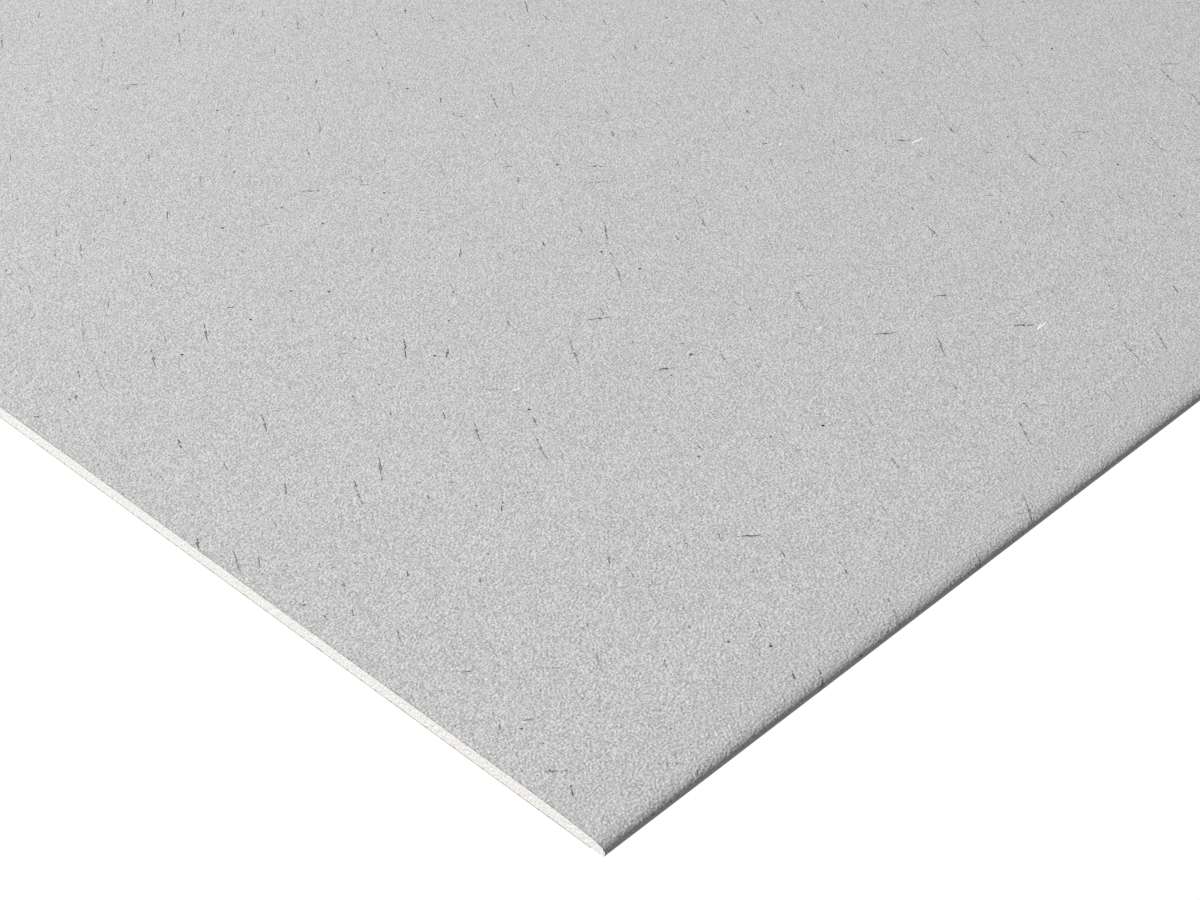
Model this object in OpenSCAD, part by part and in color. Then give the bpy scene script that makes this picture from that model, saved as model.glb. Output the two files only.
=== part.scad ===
// Drywall sheet: a gypsum core between a face paper, which wraps both long edges,
// and a back paper, which covers the turned-under flaps of the face paper.
// X runs along the sheet, Y across it and Z up, with the face up and the back on Z = 0.
// The long edges are half-round and tapered on the face side. The ends are cut square.

/* [Sheet] */
// Length of the sheet, from cut end to cut end
sheet_length = 2000; // [600:10:3600]
// Width of the sheet, from nose to nose of its long edges
sheet_width = 1250; // [600:10:1500]
// Thickness of the sheet away from its long edges
sheet_thickness = 9.5; // [9:0.5:18]

/* [Long edges] */
// Width of the band that slopes down along each long edge, measured from the nose
taper_width = 55; // [40:1:80]
// How far the face has dropped where the half-round nose begins
taper_depth = 1.8; // [0.6:0.1:2.2]
// How far behind the nose its rounding begins on the face
nose_depth = 9.5; // [6:0.5:12]
// Height of the foremost line of the nose above the back of the sheet
nose_height = 3.4; // [2.4:0.1:4]
// How far behind the nose its rounding ends on the back
heel_depth = 1.2; // [1.2:0.1:3]

/* [Papers] */
// Thickness of the face paper
face_paper_thickness = 0.4; // [0.3:0.05:0.5]
// Thickness of the back paper
back_paper_thickness = 0.4; // [0.3:0.05:0.5]
// How far the face paper's turned-under flap reaches in from the nose
flap_width = 35; // [20:1:60]
// How far the edge of the back paper lies behind the nose
back_paper_setback = 10; // [5:0.5:15]

/* [Smoothness] */
// Number of facets along the slope of each long edge
taper_steps = 8; // [4:1:16]
// Number of facets round the face side of each nose
nose_steps = 14; // [6:1:24]
// Number of facets round the back side of each nose
heel_steps = 6; // [3:1:12]

/* [Hidden] */

paper_grey = [0.77, 0.77, 0.77];
liner_grey = [0.71, 0.70, 0.68];
gypsum_cream = [0.95, 0.94, 0.92];

half_width = sheet_width / 2;
// The slope steepens towards the nose as this power of the way down it.
taper_power = 1.6;
taper_run = taper_width - nose_depth;
taper_end_height = sheet_thickness - taper_depth;
taper_end_slope = taper_power * taper_depth / taper_run;
// Length of a Bezier handle that rounds a quarter turn like an ellipse.
round_handle = 0.55;
// Length of one that stays near its straight line for longer, as under the nose.
full_handle = 0.8;

// The flaps lie on the back paper, and the core lies on the flaps.
flap_bottom = back_paper_thickness;

function bezier(a, b, c, d, t) =
    pow(1 - t, 3) * a + 3 * pow(1 - t, 2) * t * b + 3 * (1 - t) * t * t * c + t * t * t * d;

function bezier_after_start(a, b, c, d, steps) =
    [for (i = [1:steps]) bezier(a, b, c, d, i / steps)];

function reversed(list) = [for (i = [len(list) - 1:-1:0]) list[i]];

// One long edge, as [distance behind the nose, height] from the face to the flap's end.
function taper_height(distance) =
    sheet_thickness - taper_depth * pow((taper_width - distance) / taper_run, taper_power);

taper_points = [
    for (i = [0:taper_steps])
        let (distance = taper_width - taper_run * i / taper_steps)
            [distance, taper_height(distance)]
];

nose_start = [nose_depth, taper_end_height];
nose_tip = [0, nose_height];
heel_end = [heel_depth, flap_bottom];

nose_points = bezier_after_start(
    nose_start,
    nose_start - round_handle * nose_depth * [1, taper_end_slope],
    nose_tip + [0, round_handle * (taper_end_height - nose_height)],
    nose_tip,
    nose_steps
);

heel_points = bezier_after_start(
    nose_tip,
    nose_tip - [0, full_handle * (nose_height - flap_bottom)],
    heel_end - [round_handle * heel_depth, 0],
    heel_end,
    heel_steps
);

edge_points = concat(taper_points, nose_points, heel_points, [[flap_width, flap_bottom]]);

// The section's outer line, from the end of one flap over the face to the end of the other.
outer_line = concat(
    [for (p = reversed(edge_points)) [p[0] - half_width, p[1]]],
    [for (p = edge_points) [half_width - p[0], p[1]]]
);

function inward(a, b) = let (along = (b - a) / norm(b - a)) [along[1], -along[0]];

// The line's corner i, moved inwards by a thickness that is the same all along both sides.
function moved_inward(line, i, thickness) =
    let (
        last = len(line) - 1,
        before = inward(line[max(i - 1, 0)], line[max(i - 1, 0) + 1]),
        after = inward(line[min(i, last - 1)], line[min(i, last - 1) + 1])
    )
    line[i] + thickness * (before + after) / (1 + before * after);

// The face paper's inner line is also the core's skin.
inner_line = [
    for (i = [0:len(outer_line) - 1]) moved_inward(outer_line, i, face_paper_thickness)
];

// Extrudes a section, drawn with Y to its right and Z up, over the length of the sheet.
module along_sheet() {
    rotate([90, 0, 90])
        linear_extrude(height = sheet_length, center = true)
            children();
}

module gypsum_core() {
    color(gypsum_cream)
        along_sheet()
            polygon(concat(
                inner_line,
                [[half_width - flap_width, flap_bottom], [flap_width - half_width, flap_bottom]]
            ));
}

module face_paper() {
    color(paper_grey)
        along_sheet()
            polygon(concat(outer_line, reversed(inner_line)));
}

module back_paper() {
    color(liner_grey)
        along_sheet()
            translate([back_paper_setback - half_width, 0])
                square([sheet_width - 2 * back_paper_setback, back_paper_thickness]);
}

gypsum_core();
face_paper();
back_paper();
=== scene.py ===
"""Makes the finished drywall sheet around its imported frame.

The sheet is a gypsum core between two papers. The face paper covers the face, wraps both long
edges and is turned under the back. The back paper covers the back and the turned-under flaps.
X runs along the sheet, Y across it and Z up, in metres, and the sheet lies on Z = 0.
"""

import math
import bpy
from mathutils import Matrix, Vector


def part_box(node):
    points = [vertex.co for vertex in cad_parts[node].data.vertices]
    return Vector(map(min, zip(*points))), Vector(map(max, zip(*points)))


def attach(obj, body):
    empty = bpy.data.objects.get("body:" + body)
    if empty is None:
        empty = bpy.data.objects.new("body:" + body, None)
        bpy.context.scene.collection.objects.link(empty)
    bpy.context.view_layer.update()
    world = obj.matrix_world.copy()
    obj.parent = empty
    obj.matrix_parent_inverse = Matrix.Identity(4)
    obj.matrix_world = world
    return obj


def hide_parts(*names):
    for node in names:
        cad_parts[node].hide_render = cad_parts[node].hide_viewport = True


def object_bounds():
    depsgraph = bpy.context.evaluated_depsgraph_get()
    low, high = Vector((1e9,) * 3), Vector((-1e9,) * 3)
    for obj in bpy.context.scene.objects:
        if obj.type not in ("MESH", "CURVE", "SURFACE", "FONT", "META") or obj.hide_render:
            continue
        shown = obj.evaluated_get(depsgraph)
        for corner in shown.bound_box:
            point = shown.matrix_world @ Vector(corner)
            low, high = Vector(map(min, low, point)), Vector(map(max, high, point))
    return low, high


bl_info = {
    "name": "Drywall Sheet",
    "version": (1, 0, 0),
    "blender": (4, 5, 0),
    "location": "3D View > Sidebar > Drywall",
    "description": "Makes a gypsum board with wrapped, tapered long edges and cut ends",
    "category": "Add Mesh",
}

from typing import NamedTuple

import bmesh
import bpy
from bpy.props import FloatProperty, FloatVectorProperty, IntProperty, PointerProperty
from mathutils import Euler, Vector, noise

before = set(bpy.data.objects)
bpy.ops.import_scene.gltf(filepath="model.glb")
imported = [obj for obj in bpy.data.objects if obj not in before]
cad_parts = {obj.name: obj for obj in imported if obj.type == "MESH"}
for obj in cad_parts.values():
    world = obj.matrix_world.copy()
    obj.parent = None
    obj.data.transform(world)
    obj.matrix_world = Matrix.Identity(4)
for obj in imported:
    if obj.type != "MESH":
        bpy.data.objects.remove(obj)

MM = 0.001
CAD_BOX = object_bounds()
SHEET_LOW, SHEET_HIGH = CAD_BOX
CORE_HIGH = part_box("gypsum_core")[1]
BACK_LOW, BACK_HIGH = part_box("back_paper")


# ---------------------------------------------------------------- values a user may change


def length(name, description, default, low, high):
    """A length property, in metres, with a default and limits in millimetres."""
    return FloatProperty(
        name=name,
        description=description,
        default=default * MM,
        min=low * MM,
        max=high * MM,
        precision=5,
        subtype="DISTANCE",
        unit="LENGTH",
    )


def colour(name, description, default):
    """A colour property, in linear red, green and blue."""
    return FloatVectorProperty(
        name=name, description=description, default=default, size=3, min=0, max=1, subtype="COLOR"
    )


class DrywallSizes(bpy.types.PropertyGroup):
    """Sizes of the sheet's section and of the relief on it."""

    sheet_length: length(
        "Length", "Length of the sheet", (SHEET_HIGH.x - SHEET_LOW.x) / MM, 600, 3600
    )
    sheet_width: length(
        "Width", "Width of the sheet", (SHEET_HIGH.y - SHEET_LOW.y) / MM, 600, 1500
    )
    sheet_thickness: length(
        "Thickness", "Thickness of the sheet", (SHEET_HIGH.z - SHEET_LOW.z) / MM, 9, 18
    )
    face_paper_thickness: length(
        "Face Paper", "Thickness of the face paper", (SHEET_HIGH.z - CORE_HIGH.z) / MM, 0.2, 0.8
    )
    back_paper_thickness: length(
        "Back Paper", "Thickness of the back paper", (BACK_HIGH.z - BACK_LOW.z) / MM, 0.2, 0.8
    )
    back_paper_setback: length(
        "Back Paper Setback",
        "How far the edge of the back paper lies behind the nose",
        (SHEET_HIGH.y - BACK_HIGH.y) / MM,
        5,
        15,
    )
    taper_width: length(
        "Taper Width", "Width of the sloping band along each long edge", 55, 40, 80
    )
    taper_depth: length("Taper Depth", "How far the face has dropped at the nose", 1.8, 0.6, 2.5)
    nose_depth: length("Nose Depth", "Where the nose begins on the face", 9.5, 6, 14)
    nose_height: length("Nose Height", "Height of the nose's foremost line", 3.4, 2.4, 4.5)
    heel_depth: length("Heel Depth", "Where the nose ends on the back", 1.2, 1.2, 3)
    flap_width: length("Flap Width", "Width of the face paper's turned-under flap", 35, 20, 60)
    pore_size: length("Pore Size", "Distance between the pores of the cut gypsum", 1.3, 0.8, 4)
    pore_depth: length("Pore Depth", "Depth of the deepest pores", 0.4, 0, 1.5)
    fray_depth: length("Fray Depth", "How far the papers are worn back at the cut ends", 0.08, 0, 1)
    end_grid: length("End Grid", "Size of the facets on the cut ends", 0.55, 0.5, 3)


class DrywallColours(bpy.types.PropertyGroup):
    """Colours of the three materials and of the stage."""

    face_paper: colour("Face Paper", "Mean colour of the face paper", (0.572, 0.572, 0.572))
    # Also the colour of the painted shadows beside lifted fibres.
    fibre_and_shadow: colour("Fibres", "Colour of the loose dark fibres and specks", (0.03, 0.03, 0.03))
    # Colour of the painted highlights on lifted fibres.
    fibre_highlight: colour("Highlights", "Colour of the white flakes", (0.95, 0.95, 0.94))
    back_paper: colour("Back Paper", "Mean colour of the back paper", (0.44, 0.425, 0.395))
    gypsum: colour("Gypsum", "Colour of the clean gypsum", (0.95, 0.935, 0.9))
    gypsum_shade: colour("Gypsum Shade", "Colour of the gypsum's beige mottling", (0.8, 0.745, 0.7))
    floor: colour("Floor", "Colour of the evenly lit floor", (1, 1, 1))


class DrywallStage(bpy.types.PropertyGroup):
    """Light and camera of the stage."""

    key_power: FloatProperty(
        name="Key Power", description="Power of the key light", default=2390, min=0, unit="POWER"
    )
    fill: FloatProperty(
        name="Fill", description="Brightness of the even light from above", default=0.225, min=0
    )
    floor_fill: FloatProperty(
        name="Floor Fill", description="Brightness of the light from below", default=0.31, min=0
    )
    lens: FloatProperty(
        name="Lens", description="Focal length of the camera", default=67.18, unit="CAMERA"
    )
    camera_heading: FloatProperty(
        name="Heading",
        description="Direction the camera looks in, measured from +X towards +Y",
        default=math.radians(44.34),
        subtype="ANGLE",
    )
    camera_pitch: FloatProperty(
        name="Pitch",
        description="How far the camera looks down",
        default=math.radians(37.01),
        subtype="ANGLE",
    )
    floor_segments: IntProperty(
        name="Floor Segments", description="Facets round the floor", default=96, min=12
    )


# ---------------------------------------------------------------- shader nodes

UNROLLED = "unrolled"


class Wire:
    """A socket's value. Python's operators on it add Math nodes to its shader."""

    def __init__(self, finish, socket):
        self.finish = finish
        self.socket = socket

    def __add__(self, other):
        return self.finish.math("ADD", self, other)

    def __sub__(self, other):
        return self.finish.math("SUBTRACT", self, other)

    def __rsub__(self, other):
        return self.finish.math("SUBTRACT", other, self)

    def __mul__(self, other):
        return self.finish.math("MULTIPLY", self, other)

    def __truediv__(self, other):
        return self.finish.math("DIVIDE", self, other)

    def __rtruediv__(self, other):
        return self.finish.math("DIVIDE", other, self)

    def __lt__(self, other):
        return self.finish.math("LESS_THAN", self, other)

    def __gt__(self, other):
        return self.finish.math("GREATER_THAN", self, other)

    def __abs__(self):
        return self.finish.math("ABSOLUTE", self)

    __radd__ = __add__
    __rmul__ = __mul__


class Finish:
    """A material's or a world's shader, put together node by node."""

    def __init__(self, owner):
        owner.use_nodes = True
        self.owner = owner
        self.tree = owner.node_tree
        self.tree.nodes.clear()

    def node(self, kind, settings, inputs, output=0):
        """Adds a node, applies its settings, feeds its inputs and returns one of its outputs."""
        node = self.tree.nodes.new(kind)
        for name, value in settings.items():
            setattr(node, name, value)
        for name, value in inputs.items():
            if isinstance(value, Wire):
                self.tree.links.new(value.socket, node.inputs[name])
            else:
                node.inputs[name].default_value = value
        return Wire(self, node.outputs[output]) if node.outputs else node

    def math(self, operation, *values):
        """One Math node."""
        return self.node("ShaderNodeMath", {"operation": operation}, dict(enumerate(values)))

    def shifted(self, place, shift):
        """A place moved by an offset in metres."""
        inputs = {0: place, 1: shift}
        return self.node("ShaderNodeVectorMath", {"operation": "ADD"}, inputs)

    def turned(self, vector, axis, angle):
        """A vector turned about the X, Y or Z axis by an angle."""
        settings = {"rotation_type": f"{axis}_AXIS"}
        return self.node("ShaderNodeVectorRotate", settings, {"Vector": vector, "Angle": angle})

    def parts(self, vector):
        """The X, Y and Z of a vector."""
        return [self.node("ShaderNodeSeparateXYZ", {}, {0: vector}, axis) for axis in range(3)]

    def fade(self, value, start, end):
        """0 where the value is at start, 1 where it is at end, and a smooth step between."""
        settings = {"interpolation_type": "SMOOTHSTEP"}
        inputs = {"Value": value, "From Min": start, "From Max": end}
        return self.node("ShaderNodeMapRange", settings, inputs)

    def mix(self, share, first, second):
        """A colour that goes from first to second as share goes from 0 to 1."""
        first, second = (c if isinstance(c, Wire) else (*c, 1) for c in (first, second))
        inputs = {0: share, 6: first, 7: second}
        return self.node("ShaderNodeMix", {"data_type": "RGBA"}, inputs, 2)

    def scaled(self, plain_colour, factor):
        """A colour made lighter or darker by a factor."""
        inputs = {0: tuple(plain_colour), "Scale": factor}
        return self.node("ShaderNodeVectorMath", {"operation": "SCALE"}, inputs)

    def noise(self, place, size, detail=2.0, bend=0.0):
        """Cloudy noise from 0 to 1 about 0.5, with features of one size in metres."""
        inputs = {"Vector": place, "Scale": 1 / size, "Detail": detail, "Distortion": bend}
        return self.node("ShaderNodeTexNoise", {"noise_dimensions": "3D"}, inputs)

    def scatter(self, place, cell, output):
        """One thing about the nearest of many points, which lie about a cell's size apart."""
        settings = {"voronoi_dimensions": "2D", "feature": "F1"}
        inputs = {"Vector": place, "Scale": 1 / cell}
        return self.node("ShaderNodeTexVoronoi", settings, inputs, output)

    def chances(self, place, cell):
        """Three chances from 0 to 1 that belong to the nearest scattered point."""
        chance = self.scatter(place, cell, "Color")
        return [self.node("ShaderNodeSeparateColor", {}, {0: chance}, n) for n in range(3)]

    def place(self):
        """The place on the object, in metres."""
        return self.node("ShaderNodeTexCoord", {}, {}, "Object")

    def unrolled(self):
        """The place on the paper as if it were laid out flat, in metres."""
        return self.node("ShaderNodeAttribute", {"attribute_name": UNROLLED}, {}, "Vector")

    def bump(self, height, distance):
        """A surface normal tilted by a height, whose unit stands for a distance in metres."""
        return self.node("ShaderNodeBump", {}, {"Height": height, "Distance": distance})

    def surface(self, **sockets):
        """Ends the material in one Principled BSDF."""
        inputs = {name.replace("_", " "): value for name, value in sockets.items()}
        shader = self.node("ShaderNodeBsdfPrincipled", {}, inputs)
        self.node("ShaderNodeOutputMaterial", {}, {"Surface": shader})
        return self.owner


# ---------------------------------------------------------------- marks in the paper


class Fibres(NamedTuple):
    """A family of thin broken strokes, scattered over a paper.

    shift moves its pattern away from the other families', and apart is the distance between the
    places that may hold a stroke. reach is the longest half length and width the half width.
    Directions lie within spread of angle, in radians. share says how many places hold a stroke.
    """

    shift: tuple
    apart: float
    reach: float
    width: float
    angle: float
    spread: float
    share: float


class Specks(NamedTuple):
    """A family of small uneven dots, scattered over a surface.

    shift, apart and share are as for fibres. radius is the largest one, and strength says how
    dark the dots are, from 0 to 1.
    """

    shift: tuple
    apart: float
    radius: float
    share: float
    strength: float


# The last family and the highlights have one pattern, so a dark stroke lies beside each white one:
# together they are the painted shadow and painted highlight of lifted fibres.
FACE_FIBRES_AND_SHADOWS = (
    Fibres((0, 0, 0), 52 * MM, 10 * MM, 0.37 * MM, 1.05, 0.14, 0.7),
    Fibres((2.6, 8.3, 0), 45 * MM, 4 * MM, 0.42 * MM, 1.1, 0.25, 0.6),
    Fibres((3.1, 1.7, 0), 72 * MM, 6 * MM, 0.48 * MM, -0.62, 0.14, 0.5),
    # Painted shadows: this family's dark strokes lie beside the painted highlights of lifted
    # fibres.
    Fibres((7.708, 2.291, 0), 210 * MM, 6 * MM, 0.7 * MM, -0.62, 0.1, 0.55),
)
# Painted highlights: white strokes on a few lifted fibres.
FIBRE_HIGHLIGHTS = Fibres((7.7, 2.3, 0), 210 * MM, 5 * MM, 0.7 * MM, 0.2, 0.2, 0.55)
FACE_SPECKS = (
    Specks((0.4, 6.1, 0), 60 * MM, 1.2 * MM, 0.7, 1.0),
    Specks((1.3, 4.9, 0), 10 * MM, 0.7 * MM, 0.24, 0.7),
)
CROWDED_SPECKS = Specks((6.6, 3.4, 0), 3 * MM, 0.6 * MM, 0.4, 0.6)
CROWD_SHIFT = (5.2, 0.7, 0)
CROWD_SIZE = 30 * MM
CROWD_EDGE = (0.6, 0.68)
BACK_FIBRES = Fibres((0, 0, 0), 60 * MM, 12 * MM, 0.25 * MM, 1.0, 1.2, 0.8)
BACK_SPECKS = Specks((0, 0, 0), 30 * MM, 1.1 * MM, 0.5, 1.0)
GYPSUM_GRAINS = Specks((0, 0, 0), 7 * MM, 0.5 * MM, 0.35, 0.5)

# A stroke's bend is in 1/m, and its wear and its breaks are cloudy noise of these sizes.
STROKE_BEND = 7
DOUBLED_SHARE = 0.35
DOUBLE_GAP = 0.5 * MM
WEAR_SIZE = 1.8 * MM
BREAK_SIZE = 3.2 * MM
BREAK_EDGE = (0.32, 0.5)
# The faintest stroke is this much fainter than the darkest one.
FADED_SHARE = 0.7
# The shortest stroke and the smallest speck are this share of their family's largest.
SMALLEST_SHARE = 0.3
STROKE_END = (0.7, 1)
SPECK_END = (0.6, 1.2)
SPECK_RAGGEDNESS = 1.6
SPECK_RAGGED_SIZE = 1.5 * MM


def strokes(finish, place, fibres):
    """A mask of one family of fibres.

    Some are doubled: two lines side by side, one further along than the other.
    """
    here = finish.shifted(place, fibres.shift)
    turn_chance, length_chance, share_chance = finish.chances(here, fibres.apart)
    middle = finish.scatter(here, fibres.apart, "Position")
    away = finish.node("ShaderNodeVectorMath", {"operation": "SUBTRACT"}, {0: here, 1: middle})
    turn = (turn_chance - 0.5) * (-2 * fibres.spread) - fibres.angle
    along, across, _ = finish.parts(finish.turned(away, "Z", turn))
    bent = across + along * along * ((turn_chance - 0.5) * STROKE_BEND)
    doubled = length_chance > 1 - DOUBLED_SHARE
    aside = abs(abs(bent) - doubled * DOUBLE_GAP)
    side = (bent > 0) * 2 - 1
    staggered = abs(along + side * doubled * (0.5 * fibres.reach))
    worn = finish.noise(here, WEAR_SIZE, detail=1.0)
    on_line = 1 - finish.fade(aside - fibres.width * worn, 0, fibres.width)
    reach = fibres.reach * (length_chance * (1 - SMALLEST_SHARE) + SMALLEST_SHARE)
    in_length = 1 - finish.fade(staggered / reach, *STROKE_END)
    broken = finish.fade(finish.noise(here, BREAK_SIZE, detail=1.0), *BREAK_EDGE)
    strength = (share_chance < fibres.share) * (1 - share_chance * (FADED_SHARE / fibres.share))
    return on_line * in_length * broken * strength


def dots(finish, place, specks):
    """A mask of one family of specks."""
    here = finish.shifted(place, specks.shift)
    size_chance, _, share_chance = finish.chances(here, specks.apart)
    distance = finish.scatter(here, specks.apart, "Distance") * specks.apart
    edge = specks.radius * (size_chance * (1 - SMALLEST_SHARE) + SMALLEST_SHARE)
    unevenness = finish.noise(here, SPECK_RAGGED_SIZE) - 0.5
    ragged = distance + unevenness * (SPECK_RAGGEDNESS * specks.radius)
    inside = 1 - finish.fade(ragged / edge, *SPECK_END)
    return inside * (share_chance < specks.share) * specks.strength


# ---------------------------------------------------------------- finishes

RELIEF_SIZE = 1.55 * MM
RELIEF_BEND = 0.3
RELIEF_HEIGHT = 0.45 * MM
MOTTLE_SIZE = 1.25 * MM
MOTTLE_RANGE = 0.98
FINE_SIZE = 0.45 * MM
FINE_RANGE = 0.25
FINE_RELIEF = 0.25
CLOUD_SIZE = 60 * MM
CLOUD_RANGE = 0.06
MOTTLE_SHIFT = (2.1, 7.3, 0)
BACK_SHIFT = (5.3, 2.9, 0)

# Each band is given by its two distances from a cut end, between which its mask rises.
# The face paper's band at each cut end is painted shade: it is darker there to stand in for the
# paper curling down at the cut.
SHADED_RIM = (1.0 * MM, 0.5 * MM)
SHADED_RIM_DARKNESS = 0.26
DUSTED = (0.17 * MM, 0.1 * MM)
DUST_SHARE = 0.75
# The back paper is darker in this band at each cut end: partly painted shade of the rough cut edge
# and of the gap at its foot, partly the cut edge's own darker colour.
BACK_SHADED_RIM = (0.4 * MM, 0.15 * MM)
BACK_SHADED_RIM_DARKNESS = 0.5
MARK_DARKNESS = 0.92
BACK_MARK_DARKNESS = 0.7
HIGHLIGHT_EDGE = (0, 0.6)
FACE_ROUGHNESS = 0.92
BACK_ROUGHNESS = 0.94

GYPSUM_MOTTLE_SIZE = 1.3 * MM
GYPSUM_FINE_SIZE = 0.6 * MM
GYPSUM_SHADE_EDGE = (0.5, 0.68)
GYPSUM_SHADE_SHARE = 0.8
GYPSUM_RELIEF = 0.15 * MM


def paper_grain(finish, place):
    """The relief of pressed recycled paper, from 0 up, and its mottling, about 1."""
    relief = finish.noise(place, RELIEF_SIZE, detail=0.0, bend=RELIEF_BEND)
    mottle = finish.noise(finish.shifted(place, MOTTLE_SHIFT), MOTTLE_SIZE, detail=0.0)
    fine = finish.noise(place, FINE_SIZE, detail=1.0)
    cloud = finish.noise(place, CLOUD_SIZE, detail=3.0)
    tint = (mottle - 0.5) * MOTTLE_RANGE + (fine - 0.5) * FINE_RANGE + (cloud - 0.5) * CLOUD_RANGE
    return relief + fine * FINE_RELIEF, tint + 1


def near_ends(finish, sizes, band):
    """A mask that rises over a band, given by its distances from the sheet's two cut ends."""
    along = abs(finish.parts(finish.place())[0])
    start, end = (sizes.sheet_length / 2 - distance for distance in band)
    return finish.fade(along, start, end)


def paper_surface(finish, colour_wire, relief, roughness):
    """Matt paper with a colour, a relief and a roughness."""
    return finish.surface(
        Base_Color=colour_wire,
        Roughness=roughness,
        Specular_IOR_Level=0.25,
        Normal=finish.bump(relief, RELIEF_HEIGHT),
    )


def face_paper_finish(colours, sizes):
    """Light grey recycled paper with loose dark fibres and specks, painted highlights and painted
    shadows of a few lifted fibres, and painted shade along its cut ends.
    """
    finish = Finish(bpy.data.materials.new("face_paper_finish"))
    place = finish.unrolled()
    relief, tint = paper_grain(finish, finish.place())
    # rim masks the band of painted shade along each cut end.
    rim = near_ends(finish, sizes, SHADED_RIM)
    dusted = near_ends(finish, sizes, DUSTED)
    paper = finish.scaled(colours.face_paper, tint - rim * SHADED_RIM_DARKNESS)
    base = finish.mix(dusted * DUST_SHARE, paper, colours.gypsum)
    crowd_noise = finish.noise(finish.shifted(place, CROWD_SHIFT), CROWD_SIZE, detail=1.0)
    marks = dots(finish, place, CROWDED_SPECKS) * finish.fade(crowd_noise, *CROWD_EDGE)
    for fibres in FACE_FIBRES_AND_SHADOWS:
        marks += strokes(finish, place, fibres)
    for specks in FACE_SPECKS:
        marks += dots(finish, place, specks)
    # The marks also hold the painted shadows beside the lifted fibres' highlights.
    marked = finish.mix(finish.fade(marks, 0, 1) * MARK_DARKNESS, base, colours.fibre_and_shadow)
    # Painted highlights: white strokes where lifted fibres catch the light.
    highlights = finish.fade(strokes(finish, place, FIBRE_HIGHLIGHTS), *HIGHLIGHT_EDGE)
    highlighted = finish.mix(highlights, marked, colours.fibre_highlight)
    return paper_surface(finish, highlighted, relief, FACE_ROUGHNESS)


def back_paper_finish(colours, sizes):
    """Darker, warmer liner paper of mixed recycled fibres."""
    finish = Finish(bpy.data.materials.new("back_paper_finish"))
    place = finish.shifted(finish.place(), BACK_SHIFT)
    relief, tint = paper_grain(finish, place)
    # rim masks the darker cut ends: partly painted shade, partly the paper edge's own darker
    # colour.
    rim = near_ends(finish, sizes, BACK_SHADED_RIM)
    base = finish.scaled(colours.back_paper, tint - rim * BACK_SHADED_RIM_DARKNESS)
    marks = strokes(finish, place, BACK_FIBRES) + dots(finish, place, BACK_SPECKS)
    marked = finish.mix(finish.fade(marks, 0, 1) * BACK_MARK_DARKNESS, base, colours.fibre_and_shadow)
    return paper_surface(finish, marked, relief, BACK_ROUGHNESS)


def gypsum_finish(colours):
    """Matt cream gypsum with fine beige mottling and a few dark grains."""
    finish = Finish(bpy.data.materials.new("gypsum_finish"))
    place = finish.place()
    mottle = finish.noise(place, GYPSUM_MOTTLE_SIZE, detail=1.0)
    fine = finish.noise(place, GYPSUM_FINE_SIZE, detail=1.0)
    shade = finish.fade(mottle, *GYPSUM_SHADE_EDGE) * GYPSUM_SHADE_SHARE
    stained = finish.mix(shade, colours.gypsum, colours.gypsum_shade)
    on_end = finish.turned(place, "Y", math.radians(90))
    return finish.surface(
        Base_Color=finish.mix(dots(finish, on_end, GYPSUM_GRAINS), stained, colours.fibre_and_shadow),
        Roughness=0.95,
        Specular_IOR_Level=0.2,
        Normal=finish.bump(fine + mottle, GYPSUM_RELIEF),
    )


# ---------------------------------------------------------------- the section

TAPER_POWER = 1.6
ROUND_HANDLE = 0.55
FULL_HANDLE = 0.8
TAPER_STEPS = 16
NOSE_STEPS = 28
HEEL_STEPS = 10
# Between the flaps the core comes down to the back paper, over a step of this width.
FLAP_STEP = 0.05 * MM


def bezier(a, b, c, d, steps):
    """The points of a Bezier curve after its start."""
    shares = [i / steps for i in range(1, steps + 1)]
    return [
        (1 - t) ** 3 * a + 3 * (1 - t) ** 2 * t * b + 3 * (1 - t) * t * t * c + t**3 * d
        for t in shares
    ]


def edge_line(sizes):
    """One long edge, as (distance behind the nose, height), from the face to the flap's end."""
    run = sizes.taper_width - sizes.nose_depth
    flap_bottom = sizes.back_paper_thickness
    slope = TAPER_POWER * sizes.taper_depth / run
    taper = [
        Vector((
            sizes.taper_width - run * share,
            sizes.sheet_thickness - sizes.taper_depth * share**TAPER_POWER,
        ))
        for share in (i / TAPER_STEPS for i in range(TAPER_STEPS + 1))
    ]
    start = taper[-1]
    tip = Vector((0, sizes.nose_height))
    heel = Vector((sizes.heel_depth, flap_bottom))
    nose = bezier(
        start,
        start - Vector((1, slope)) * ROUND_HANDLE * sizes.nose_depth,
        tip + Vector((0, ROUND_HANDLE * (start.y - tip.y))),
        tip,
        NOSE_STEPS,
    )
    under = bezier(
        tip,
        tip - Vector((0, FULL_HANDLE * (tip.y - heel.y))),
        heel - Vector((ROUND_HANDLE * sizes.heel_depth, 0)),
        heel,
        HEEL_STEPS,
    )
    return taper + nose + under + [Vector((sizes.flap_width, flap_bottom))]


def outer_line(sizes):
    """The face paper's outside, as (Y, Z), from one flap's end over the face to the other's."""
    half = sizes.sheet_width / 2
    edge = edge_line(sizes)
    low_side = [Vector((p.x - half, p.y)) for p in reversed(edge)]
    return low_side + [Vector((half - p.x, p.y)) for p in edge]


def moved_inward(line, distance):
    """A line moved to its right by a distance, with its corners mitred."""
    normals = []
    for before, after in zip(line, line[1:]):
        along = (after - before).normalized()
        normals.append(Vector((along.y, -along.x)))
    ends = zip(line, [normals[0]] + normals, normals + [normals[-1]])
    return [point + (a + b) * (distance / (1 + a.dot(b))) for point, a, b in ends]


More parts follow.
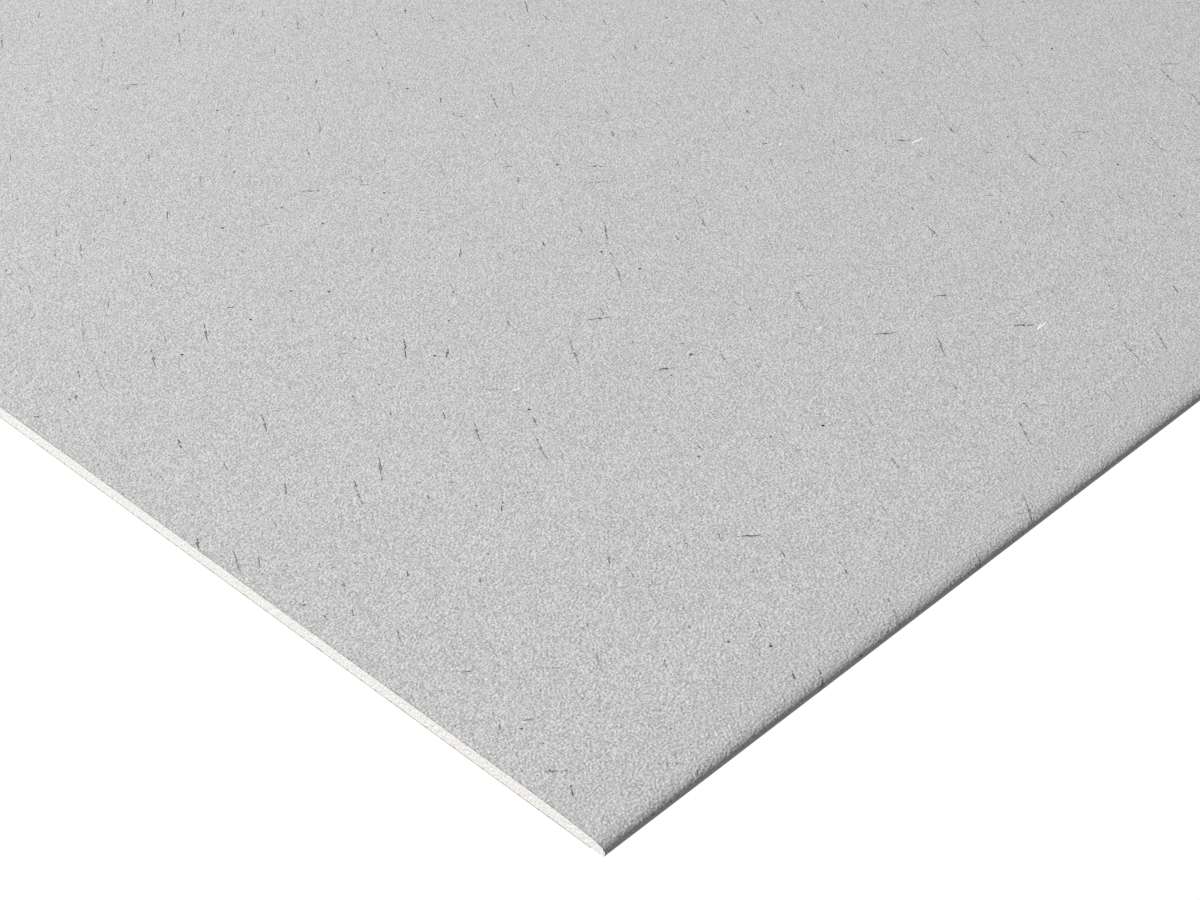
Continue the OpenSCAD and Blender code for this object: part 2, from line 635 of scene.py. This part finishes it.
def with_steps(line, step):
    """A line with its long straight stretches cut into even steps."""
    points = [line[0]]
    for before, after in zip(line, line[1:]):
        count = max(1, round((after - before).length / step))
        points += [before.lerp(after, i / count) for i in range(1, count + 1)]
    return points


def core_outlines(sizes):
    """The core's upper and lower outline, each as (Y, Z) points in the order of their Y."""
    line = moved_inward(outer_line(sizes), sizes.face_paper_thickness)
    tip = max(range(len(line)), key=lambda i: line[i].x)
    tail = min(range(len(line)), key=lambda i: line[i].x)
    between_flaps = [
        Vector((p.x - math.copysign(FLAP_STEP, p.x), sizes.back_paper_thickness))
        for p in (line[0], line[-1])
    ]
    under = line[: tail + 1][::-1] + between_flaps + line[tip:][::-1]
    return line[tail : tip + 1], under


def height_at(line, y):
    """The height of a line of (Y, Z) points, in the order of their Y, at one Y."""
    for before, after in zip(line, line[1:]):
        if before.x <= y <= after.x:
            share = (y - before.x) / (after.x - before.x)
            return before.y + (after.y - before.y) * share
    raise ValueError(f"the line doesn't reach {y}")


# ---------------------------------------------------------------- meshes

# At each tip of the core, this length of the end grid is pressed together into half of it.
CROWDED = 8 * MM
SAME_POINT = 0.005 * MM
# A pore's radius is a share of the pore size. Its depth is capped, which leaves a flat bottom.
PORE_RADIUS = 0.62
PORE_FULLNESS = 1.6
PORE_CHANCE_SCALE = 37
CRUMBLE_LENGTH = 6 * MM
CRUMBLE_DEPTH = 0.05 * MM
CORE_SHARP_ANGLE = math.radians(60)

FACE_STEP = 1.2 * MM
# The papers get an edge loop at each of these distances from a cut end.
END_STRIPS = (0.5 * MM, 2 * MM)
# A point this close to the plane of a cut end belongs to the cut.
AT_END = 0.1 * MM
FRAY_LENGTH = 3.5 * MM
FINE_FRAY_LENGTH = 1.3 * MM
FINE_FRAY_SHARE = 0.4
BACK_FRAY_SHARE = 0.2
LINER_STEP = 10 * MM
LINER_WAVE = 0.4 * MM
LINER_WAVE_LENGTH = 45 * MM
PAPER_SHARP_ANGLE = math.radians(40)


def new_piece(name, bm, finish, node):
    """Makes a bmesh an object that stands for a CAD node and rides with the sheet."""
    mesh = bpy.data.meshes.new(name)
    bm.to_mesh(mesh)
    bm.free()
    mesh.materials.append(finish)
    piece = bpy.data.objects.new(name, mesh)
    bpy.context.scene.collection.objects.link(piece)
    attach(piece, "root")
    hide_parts(node)
    return piece


def pull_out(bm, move):
    """Makes a flat bmesh a closed solid, by extruding its faces along a vector."""
    made = bmesh.ops.extrude_face_region(bm, geom=bm.faces[:], use_keep_orig=True)["geom"]
    verts = [g for g in made if isinstance(g, bmesh.types.BMVert)]
    bmesh.ops.translate(bm, verts=verts, vec=move)
    bmesh.ops.recalc_face_normals(bm, faces=bm.faces)


def cut_near_ends(bm, sizes):
    """Adds edge loops close to the two cut ends, so that wear there stays short."""
    for behind in END_STRIPS:
        for side in (-1, 1):
            place = (side * (sizes.sheet_length / 2 - behind), 0, 0)
            geom = bm.verts[:] + bm.edges[:] + bm.faces[:]
            bmesh.ops.bisect_plane(bm, geom=geom, plane_co=place, plane_no=(1, 0, 0))


def fray_ends(bm, sizes, share):
    """Wears a paper's cut ends back unevenly, by up to a share of the fray depth."""
    for v in bm.verts:
        if sizes.sheet_length / 2 - abs(v.co.x) < AT_END:
            coarse = noise.noise(v.co / FRAY_LENGTH)
            fine = noise.noise(v.co / FINE_FRAY_LENGTH)
            wear = max(0.0, min(1.0, 0.5 + 0.5 * coarse + FINE_FRAY_SHARE * fine))
            v.co.x -= math.copysign(share * sizes.fray_depth * wear, v.co.x)


class DRYWALL_OT_gypsum_core(bpy.types.Operator):
    """Makes the gypsum core, with pores and crumbled edges on its two cut ends"""

    bl_idname = "drywall.gypsum_core"
    bl_label = "Gypsum Core"

    def execute(self, context):
        sizes = context.scene.drywall_sizes
        bm = end_grid(sizes)
        pull_out(bm, (sizes.sheet_length, 0, 0))
        roughen_ends(bm, sizes)
        finish = gypsum_finish(context.scene.drywall_colours)
        piece = new_piece("gypsum_board_core", bm, finish, "gypsum_core")
        piece.data.shade_smooth()
        piece.data.set_sharp_from_angle(angle=CORE_SHARP_ANGLE)
        return {"FINISHED"}


def end_grid(sizes):
    """A fine grid that fills the core's section at the sheet's near end.

    Its columns are even across the sheet and crowd together where the section rounds to a tip.
    """
    over, under = core_outlines(sizes)
    reach = over[-1].x
    even_reach = reach + CROWDED / 2
    bm = bmesh.new()
    bmesh.ops.create_grid(
        bm,
        x_segments=round(2 * even_reach / sizes.end_grid),
        y_segments=round(sizes.sheet_thickness / sizes.end_grid),
        size=1,
    )
    for v in bm.verts:
        from_tip = even_reach * (1 - abs(v.co.x))
        behind = from_tip - CROWDED / 2
        if from_tip < CROWDED:
            behind = from_tip**2 / (2 * CROWDED)
        y = math.copysign(max(0.0, reach - behind), v.co.x)
        low, high = height_at(under, y), height_at(over, y)
        v.co = Vector((-sizes.sheet_length / 2, y, low + (high - low) * (v.co.y + 1) / 2))
    bmesh.ops.remove_doubles(bm, verts=bm.verts, dist=SAME_POINT)
    return bm


def roughen_ends(bm, sizes):
    """Presses pores into the cut ends, and crumbles them a little."""
    for v in bm.verts:
        distances, points = noise.voronoi(v.co / sizes.pore_size)
        size_chance = noise.cell(points[0] * PORE_CHANCE_SCALE) ** 2
        pore = max(0.0, 1 - distances[0] / PORE_RADIUS) * size_chance
        crumble = 0.5 + 0.5 * noise.noise(v.co / CRUMBLE_LENGTH)
        depth = sizes.pore_depth * min(1.0, PORE_FULLNESS * pore) + CRUMBLE_DEPTH * crumble
        v.co.x -= math.copysign(depth, v.co.x)


class DRYWALL_OT_face_paper(bpy.types.Operator):
    """Makes the face paper, wrapped round both long edges and turned under the back"""

    bl_idname = "drywall.face_paper"
    bl_label = "Face Paper"

    def execute(self, context):
        sizes = context.scene.drywall_sizes
        bm = wrapped_paper(sizes)
        finish = face_paper_finish(context.scene.drywall_colours, sizes)
        piece = new_piece("face_paper_wrap", bm, finish, "face_paper")
        piece.data.shade_smooth()
        piece.data.set_sharp_from_angle(angle=PAPER_SHARP_ANGLE)
        return {"FINISHED"}


def wrapped_paper(sizes):
    """The face paper as a closed shell, with its place on the flat paper stored at each point."""
    near = -sizes.sheet_length / 2
    line = with_steps(outer_line(sizes), FACE_STEP)
    bm = bmesh.new()
    unrolled = bm.verts.layers.float_vector.new(UNROLLED)
    verts = [bm.verts.new((near, p.x, p.y)) for p in line]
    edges = [bm.edges.new(pair) for pair in zip(verts, verts[1:])]
    for v, edge in zip(verts[1:], edges):
        v[unrolled] = edge.other_vert(v)[unrolled] + Vector((0, edge.calc_length(), 0))
    made = bmesh.ops.extrude_edge_only(bm, edges=edges)["geom"]
    far_verts = [g for g in made if isinstance(g, bmesh.types.BMVert)]
    bmesh.ops.translate(bm, verts=far_verts, vec=(sizes.sheet_length, 0, 0))
    cut_near_ends(bm, sizes)
    bmesh.ops.recalc_face_normals(bm, faces=bm.faces)
    bmesh.ops.solidify(bm, geom=bm.faces[:], thickness=sizes.face_paper_thickness)
    bmesh.ops.recalc_face_normals(bm, faces=bm.faces)
    fray_ends(bm, sizes, 1)
    for v in bm.verts:
        v[unrolled] += Vector((v.co.x, 0, 0))
    return bm


class DRYWALL_OT_back_paper(bpy.types.Operator):
    """Makes the back paper, which lies over the flaps of the face paper"""

    bl_idname = "drywall.back_paper"
    bl_label = "Back Paper"

    def execute(self, context):
        sizes = context.scene.drywall_sizes
        bm = flat_liner(sizes)
        pull_out(bm, (0, 0, sizes.back_paper_thickness))
        fray_ends(bm, sizes, BACK_FRAY_SHARE)
        finish = back_paper_finish(context.scene.drywall_colours, sizes)
        new_piece("back_paper_liner", bm, finish, "back_paper")
        return {"FINISHED"}


def flat_liner(sizes):
    """The back paper's underside, with its two long edges slightly wavy."""
    half = Vector((sizes.sheet_length, sizes.sheet_width - 2 * sizes.back_paper_setback, 2)) / 2
    bm = bmesh.new()
    steps = round(sizes.sheet_length / LINER_STEP)
    bmesh.ops.create_grid(bm, x_segments=steps, y_segments=1, size=1)
    bmesh.ops.scale(bm, vec=half, verts=bm.verts)
    for v in bm.verts:
        place = Vector((v.co.x / LINER_WAVE_LENGTH, v.co.y, 0))
        wave = LINER_WAVE * (0.5 + 0.5 * noise.noise(place))
        v.co.y -= math.copysign(wave, v.co.y)
    cut_near_ends(bm, sizes)
    end_edges = [e for e in bm.edges if all(half.x - abs(v.co.x) < AT_END for v in e.verts)]
    bmesh.ops.subdivide_edges(bm, edges=end_edges, cuts=round(2 * half.y / FACE_STEP))
    return bm


# ---------------------------------------------------------------- the stage

FLOOR_RADIUS = 14
WALL_BEND = 6
WALL_STEPS = 12
FLOOR_DROP = 0.02 * MM
KEY_DISTANCE = 14
KEY_DIRECTION = Vector((-0.606, 0.515, 0.606)).normalized()
KEY_SIZE = 3.5
CAMERA_PLACE = Vector((-1.5717, -1.1802, 0.8649))
SENSOR_WIDTH = 36


class DRYWALL_OT_stage(bpy.types.Operator):
    """Makes the floor, the light and the camera"""

    bl_idname = "drywall.stage"
    bl_label = "Stage"

    def execute(self, context):
        scene = context.scene
        stage = scene.drywall_stage
        scene.view_settings.view_transform = "Standard"
        make_floor(scene, stage)
        make_light(scene, stage)
        make_camera(scene, stage)
        return {"FINISHED"}


def make_floor(scene, stage):
    """A pale floor that curves up into a wall all round. It takes and casts no shadow."""
    bm = bmesh.new()
    centre = bm.verts.new((0, 0, -FLOOR_DROP))
    rim = bm.verts.new((FLOOR_RADIUS, 0, -FLOOR_DROP))
    bm.edges.new((centre, rim))
    bmesh.ops.spin(
        bm,
        geom=[rim],
        cent=(FLOOR_RADIUS, 0, WALL_BEND - FLOOR_DROP),
        axis=(0, -1, 0),
        angle=math.radians(90),
        steps=WALL_STEPS,
    )
    bmesh.ops.spin(
        bm,
        geom=bm.verts[:] + bm.edges[:],
        cent=(0, 0, 0),
        axis=(0, 0, 1),
        angle=math.tau,
        steps=stage.floor_segments,
        use_merge=True,
    )
    bmesh.ops.remove_doubles(bm, verts=bm.verts, dist=1 * MM)
    bmesh.ops.recalc_face_normals(bm, faces=bm.faces)
    mesh = bpy.data.meshes.new("floor")
    bm.to_mesh(mesh)
    bm.free()
    mesh.shade_smooth()
    finish = Finish(bpy.data.materials.new("floor_finish"))
    material = finish.surface(
        Base_Color=(0, 0, 0, 1),
        Specular_IOR_Level=0.0,
        Emission_Color=(*scene.drywall_colours.floor, 1),
        Emission_Strength=1.0,
    )
    material.cycles.emission_sampling = "NONE"
    mesh.materials.append(material)
    floor = bpy.data.objects.new("floor", mesh)
    floor.visible_diffuse = False
    floor.visible_glossy = False
    floor.visible_shadow = False
    scene.collection.objects.link(floor)


def make_light(scene, stage):
    """One large soft light from the upper left, and fill from above and below."""
    fill = Finish(bpy.data.worlds.new("studio"))
    height = fill.parts(fill.node("ShaderNodeTexCoord", {}, {}, "Generated"))[2]
    strength = (height > 0) * (stage.fill - stage.floor_fill) + stage.floor_fill
    inputs = {"Color": (1, 1, 1, 1), "Strength": strength}
    background = fill.node("ShaderNodeBackground", {}, inputs)
    fill.node("ShaderNodeOutputWorld", {}, {"Surface": background})
    scene.world = fill.owner
    light = bpy.data.lights.new("key", "AREA")
    light.energy = stage.key_power
    light.size = KEY_SIZE
    key = bpy.data.objects.new("key", light)
    key.location = KEY_DIRECTION * KEY_DISTANCE
    key.rotation_euler = (-KEY_DIRECTION).to_track_quat("-Z", "Y").to_euler()
    scene.collection.objects.link(key)


def make_camera(scene, stage):
    """The camera, which looks down on the sheet's near corner."""
    data = bpy.data.cameras.new("camera")
    data.sensor_width = SENSOR_WIDTH
    data.lens = stage.lens
    camera = bpy.data.objects.new("camera", data)
    camera.location = CAMERA_PLACE
    camera.rotation_euler = Euler(
        (math.radians(90) - stage.camera_pitch, 0, stage.camera_heading - math.radians(90))
    )
    scene.collection.objects.link(camera)
    scene.camera = camera


# ---------------------------------------------------------------- the add-on


class DRYWALL_PT_panel(bpy.types.Panel):
    """Lists the steps that make the sheet, and the values that they use"""

    bl_idname = "DRYWALL_PT_panel"
    bl_label = "Drywall Sheet"
    bl_space_type = "VIEW_3D"
    bl_region_type = "UI"
    bl_category = "Drywall"

    def draw(self, context):
        scene = context.scene
        for operator in OPERATORS:
            self.layout.operator(operator.bl_idname)
        for group in (scene.drywall_sizes, scene.drywall_colours, scene.drywall_stage):
            box = self.layout.box()
            for name in group.__annotations__:
                box.prop(group, name)


OPERATORS = (
    DRYWALL_OT_stage,
    DRYWALL_OT_gypsum_core,
    DRYWALL_OT_face_paper,
    DRYWALL_OT_back_paper,
)
CLASSES = (DrywallSizes, DrywallColours, DrywallStage, *OPERATORS, DRYWALL_PT_panel)


def register():
    """Makes the classes and their values known to Blender."""
    for cls in CLASSES:
        bpy.utils.register_class(cls)
    bpy.types.Scene.drywall_sizes = PointerProperty(type=DrywallSizes)
    bpy.types.Scene.drywall_colours = PointerProperty(type=DrywallColours)
    bpy.types.Scene.drywall_stage = PointerProperty(type=DrywallStage)


def unregister():
    """Takes the classes and their values out of Blender again."""
    del bpy.types.Scene.drywall_stage
    del bpy.types.Scene.drywall_colours
    del bpy.types.Scene.drywall_sizes
    for cls in reversed(CLASSES):
        bpy.utils.unregister_class(cls)


def main():
    """Makes the stage and the three pieces."""
    register()
    bpy.ops.drywall.stage()
    bpy.ops.drywall.gypsum_core()
    bpy.ops.drywall.face_paper()
    bpy.ops.drywall.back_paper()


if __name__ == "__main__":
    main()
